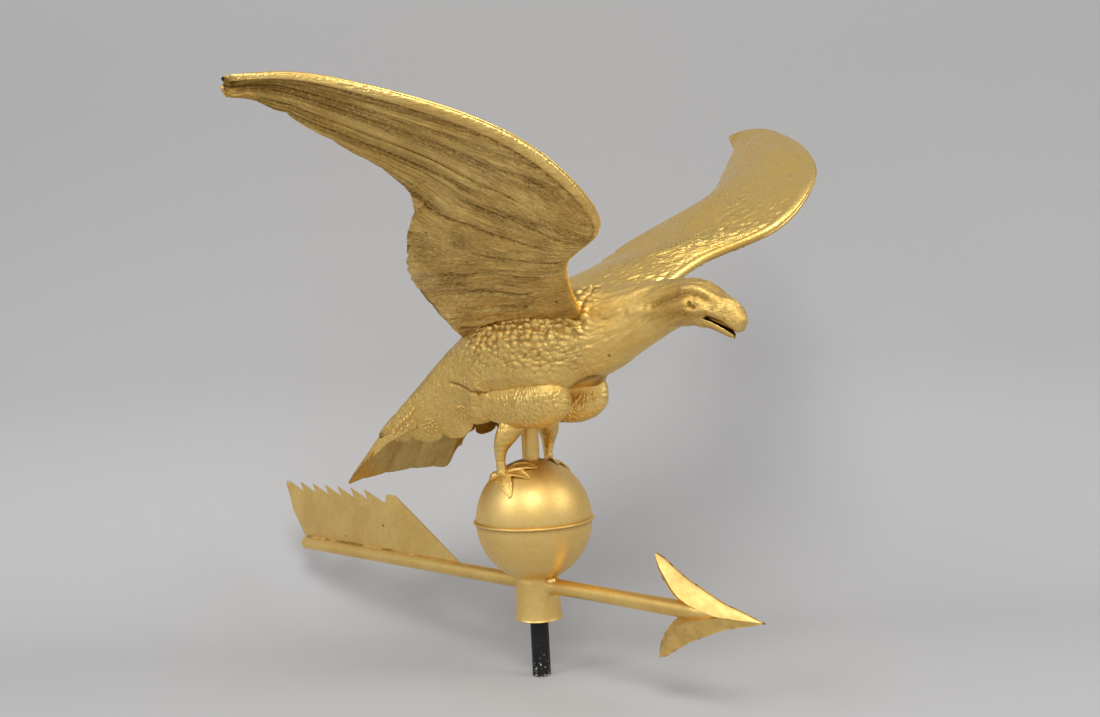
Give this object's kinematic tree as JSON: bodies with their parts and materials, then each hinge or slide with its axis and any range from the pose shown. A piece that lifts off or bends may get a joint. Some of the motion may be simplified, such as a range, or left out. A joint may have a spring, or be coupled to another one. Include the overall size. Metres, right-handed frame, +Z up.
{
  "type": "eagle weathervane",
  "caption": "Gilded copper eagle weathervane: bird with raised wings on a ball over an arrow, turning freely on an iron spindle.",
  "frame": {"origin": "centre of the spindle's flat bottom face, where the vane is held", "axes": "+Z up along the spindle, +X where the arrow and the beak point, +Y the bird's left"},
  "size_m": [0.728, 0.7076, 0.5813],
  "materials": {
    "gilt_copper": "satin gold leaf over sheet copper, toned brown in the grooves",
    "brass": "plain turned brass",
    "painted_iron": "black paint with small chips",
    "bearing_steel": "polished steel"
  },
  "bodies": {
    "mast": {"spindle_rod": "painted_iron", "pivot_ball": "bearing_steel"},
    "vane": {"hub_bushing": "brass", "pivot_cap": "brass", "spar_hub": "brass", "spar_nut": "brass", "left_wing_spar": "brass", "right_wing_spar": "brass", "hub_collar": "gilt_copper", "pivot_tube": "gilt_copper", "arrow_shaft_front": "gilt_copper", "arrow_shaft_rear": "gilt_copper", "arrow_shaft_plug": "gilt_copper", "arrow_fletching": "gilt_copper", "arrow_head_left_half": "gilt_copper", "arrow_head_right_half": "gilt_copper", "ball_upper_half": "gilt_copper", "ball_lower_half": "gilt_copper", "ball_seam_bead": "gilt_copper", "lower_beak": "gilt_copper", "tail_fan": "gilt_copper", "body_left_half": "gilt_copper", "head_left_half": "gilt_copper", "left_thigh": "gilt_copper", "left_leg": "gilt_copper", "left_wing_upper_skin": "gilt_copper", "left_wing_lower_skin": "gilt_copper", "body_right_half": "gilt_copper", "head_right_half": "gilt_copper", "right_thigh": "gilt_copper", "right_leg": "gilt_copper", "right_wing_upper_skin": "gilt_copper", "right_wing_lower_skin": "gilt_copper"}
  },
  "joints": [
    {"name": "vane_turn", "type": "hinge", "parent": "mast", "child": "vane", "pos_m": [0, 0, 0.18], "axis": [0, 0, 1], "continuous": true}
  ]
}
